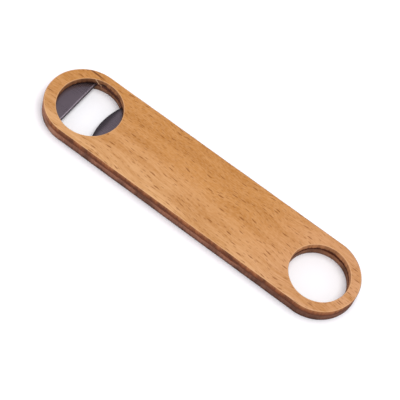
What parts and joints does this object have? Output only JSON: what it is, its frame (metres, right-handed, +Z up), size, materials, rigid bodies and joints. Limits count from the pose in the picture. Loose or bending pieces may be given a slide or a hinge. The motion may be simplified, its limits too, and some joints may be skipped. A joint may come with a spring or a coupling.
{
  "type": "flat bottle opener",
  "caption": "Flat wooden bottle opener with round ends: laminated beech bar, steel opener plate held inside a round mouth at one end, round hanging hole at the other.",
  "frame": {"origin": "centre of the underside's bounding rectangle, on the face that the opener rests on", "axes": "+X along the bar from the opener end to the hanging end, +Y across the bar, +Z up through the two layers"},
  "size_m": [0.177, 0.04, 0.0082],
  "materials": {
    "upper_beech": "oiled beech, satin faces with browned laser-cut edges",
    "lower_beech": "oiled beech, satin faces with browned laser-cut edges",
    "wood_glue": "cured amber glue, darkened by the cut",
    "plate_steel": "satin dark grey, bright along the lip's edge"
  },
  "bodies": {
    "root": {"upper_layer": "upper_beech", "lower_layer": "lower_beech", "glue_film": "wood_glue", "opener_plate": "plate_steel"}
  },
  "joints": []
}
